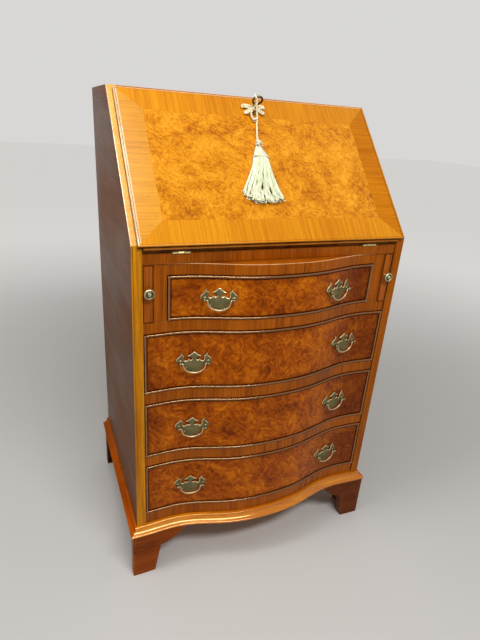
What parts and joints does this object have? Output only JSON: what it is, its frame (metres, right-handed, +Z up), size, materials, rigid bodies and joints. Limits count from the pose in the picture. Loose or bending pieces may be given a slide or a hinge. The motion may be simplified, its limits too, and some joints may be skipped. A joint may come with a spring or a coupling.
{
  "type": "writing bureau",
  "caption": "Small walnut writing bureau with a sloping fall on sliding lopers, serpentine drawers with batwing pulls, a key with a tassel, and bracket feet.",
  "frame": {"origin": "on the floor, at the middle of the box round the bureau", "axes": "+Z up, -Y towards the user who opens the fall and the drawers, +X to the right as that user sees it"},
  "size_m": [0.6, 0.468, 0.9996],
  "materials": {
    "walnut": "polished walnut, golden brown",
    "dark_walnut": "polished walnut, darker",
    "burr": "polished burr walnut veneer",
    "drawer_lining": "plain unpolished lining wood",
    "brass": "antique brass",
    "bronze": "dark bronzed brass",
    "leather": "green leather",
    "silk": "cream silk cord and strands"
  },
  "bodies": {
    "carcase": {"left_side": "dark_walnut", "right_side": "dark_walnut", "top_board": "walnut", "back_panel": "drawer_lining", "writing_board": "walnut", "bottom_board": "walnut", "drawer_frame_1": "walnut", "drawer_frame_2": "walnut", "drawer_frame_3": "walnut", "loper_housing": "walnut", "base_moulding": "walnut", "front_left_foot": "dark_walnut", "front_right_foot": "dark_walnut", "back_left_foot": "dark_walnut", "back_right_foot": "dark_walnut", "pigeonhole_unit": "walnut", "board_hinge_left": "brass", "board_hinge_right": "brass"},
    "left_loper_slide": {"left_loper": "walnut", "left_loper_knob": "brass"},
    "right_loper_slide": {"right_loper": "walnut", "right_loper_knob": "brass"},
    "fall": {"fall_board": "burr", "fall_leather": "leather", "fall_lock": "brass", "key_escutcheon": "bronze", "fall_hinge_left": "brass", "fall_hinge_right": "brass"},
    "key_body": {"key": "bronze", "cord_bow": "silk"},
    "tassel_body": {"key_tassel_cord": "silk", "key_tassel": "silk"},
    "drawer_4": {"drawer_4_front": "burr", "drawer_4_cock_bead": "dark_walnut", "drawer_4_box": "drawer_lining", "drawer_4_left_plate": "brass", "drawer_4_right_plate": "brass"},
    "drawer_4_left_bail_body": {"drawer_4_left_bail": "brass"},
    "drawer_4_right_bail_body": {"drawer_4_right_bail": "brass"},
    "drawer_3": {"drawer_3_front": "burr", "drawer_3_cock_bead": "dark_walnut", "drawer_3_box": "drawer_lining", "drawer_3_left_plate": "brass", "drawer_3_right_plate": "brass"},
    "drawer_3_left_bail_body": {"drawer_3_left_bail": "brass"},
    "drawer_3_right_bail_body": {"drawer_3_right_bail": "brass"},
    "drawer_2": {"drawer_2_front": "burr", "drawer_2_cock_bead": "dark_walnut", "drawer_2_box": "drawer_lining", "drawer_2_left_plate": "brass", "drawer_2_right_plate": "brass"},
    "drawer_2_left_bail_body": {"drawer_2_left_bail": "brass"},
    "drawer_2_right_bail_body": {"drawer_2_right_bail": "brass"},
    "drawer_1": {"drawer_1_front": "burr", "drawer_1_cock_bead": "dark_walnut", "drawer_1_box": "drawer_lining", "drawer_1_left_plate": "brass", "drawer_1_right_plate": "brass"},
    "drawer_1_left_bail_body": {"drawer_1_left_bail": "brass"},
    "drawer_1_right_bail_body": {"drawer_1_right_bail": "brass"}
  },
  "joints": [
    {"name": "fall_hinge", "type": "hinge", "parent": "carcase", "child": "fall", "pos_m": [0, -0.18541, 0.7328], "axis": [1, 0, 0], "range_deg": [0, 131.42]},
    {"name": "left_loper_pull", "type": "slide", "parent": "carcase", "child": "left_loper_slide", "axis": [0, -1, 0], "range_m": [0, 0.24]},
    {"name": "right_loper_pull", "type": "slide", "parent": "carcase", "child": "right_loper_slide", "axis": [0, -1, 0], "range_m": [0, 0.24]},
    {"name": "key_turn", "type": "hinge", "parent": "fall", "child": "key_body", "pos_m": [0, 0.01352, 0.95831], "axis": [0, -0.7499, 0.6615], "range_deg": [0, 90]},
    {"name": "tassel_swing", "type": "hinge", "parent": "key_body", "child": "tassel_body", "pos_m": [-0.00582, -0.02552, 0.99275], "axis": [-0.9962, 0.0577, 0.0654], "range_deg": [0, 60]},
    {"name": "drawer_4_pull", "type": "slide", "parent": "carcase", "child": "drawer_4", "axis": [0, -1, 0], "range_m": [0, 0.2]},
    {"name": "drawer_4_left_bail_swing", "type": "hinge", "parent": "drawer_4", "child": "drawer_4_left_bail_body", "pos_m": [-0.17127, -0.19784, 0.2195], "axis": [-0.9806, 0.1959, 0], "range_deg": [0, 90]},
    {"name": "drawer_4_right_bail_swing", "type": "hinge", "parent": "drawer_4", "child": "drawer_4_right_bail_body", "pos_m": [0.17127, -0.19784, 0.2195], "axis": [-0.9806, -0.1959, 0], "range_deg": [0, 90]},
    {"name": "drawer_3_pull", "type": "slide", "parent": "carcase", "child": "drawer_3", "axis": [0, -1, 0], "range_m": [0, 0.2]},
    {"name": "drawer_3_left_bail_swing", "type": "hinge", "parent": "drawer_3", "child": "drawer_3_left_bail_body", "pos_m": [-0.17127, -0.19784, 0.3685], "axis": [-0.9806, 0.1959, 0], "range_deg": [0, 90]},
    {"name": "drawer_3_right_bail_swing", "type": "hinge", "parent": "drawer_3", "child": "drawer_3_right_bail_body", "pos_m": [0.17127, -0.19784, 0.3685], "axis": [-0.9806, -0.1959, 0], "range_deg": [0, 90]},
    {"name": "drawer_2_pull", "type": "slide", "parent": "carcase", "child": "drawer_2", "axis": [0, -1, 0], "range_m": [0, 0.2]},
    {"name": "drawer_2_left_bail_swing", "type": "hinge", "parent": "drawer_2", "child": "drawer_2_left_bail_body", "pos_m": [-0.17127, -0.19784, 0.5175], "axis": [-0.9806, 0.1959, 0], "range_deg": [0, 90]},
    {"name": "drawer_2_right_bail_swing", "type": "hinge", "parent": "drawer_2", "child": "drawer_2_right_bail_body", "pos_m": [0.17127, -0.19784, 0.5175], "axis": [-0.9806, -0.1959, 0], "range_deg": [0, 90]},
    {"name": "drawer_1_pull", "type": "slide", "parent": "carcase", "child": "drawer_1", "axis": [0, -1, 0], "range_m": [0, 0.2]},
    {"name": "drawer_1_left_bail_swing", "type": "hinge", "parent": "drawer_1", "child": "drawer_1_left_bail_body", "pos_m": [-0.13079, -0.20668, 0.646], "axis": [-0.9578, 0.2873, 0], "range_deg": [0, 90]},
    {"name": "drawer_1_right_bail_swing", "type": "hinge", "parent": "drawer_1", "child": "drawer_1_right_bail_body", "pos_m": [0.13079, -0.20668, 0.646], "axis": [-0.9578, -0.2873, 0], "range_deg": [0, 90]}
  ]
}
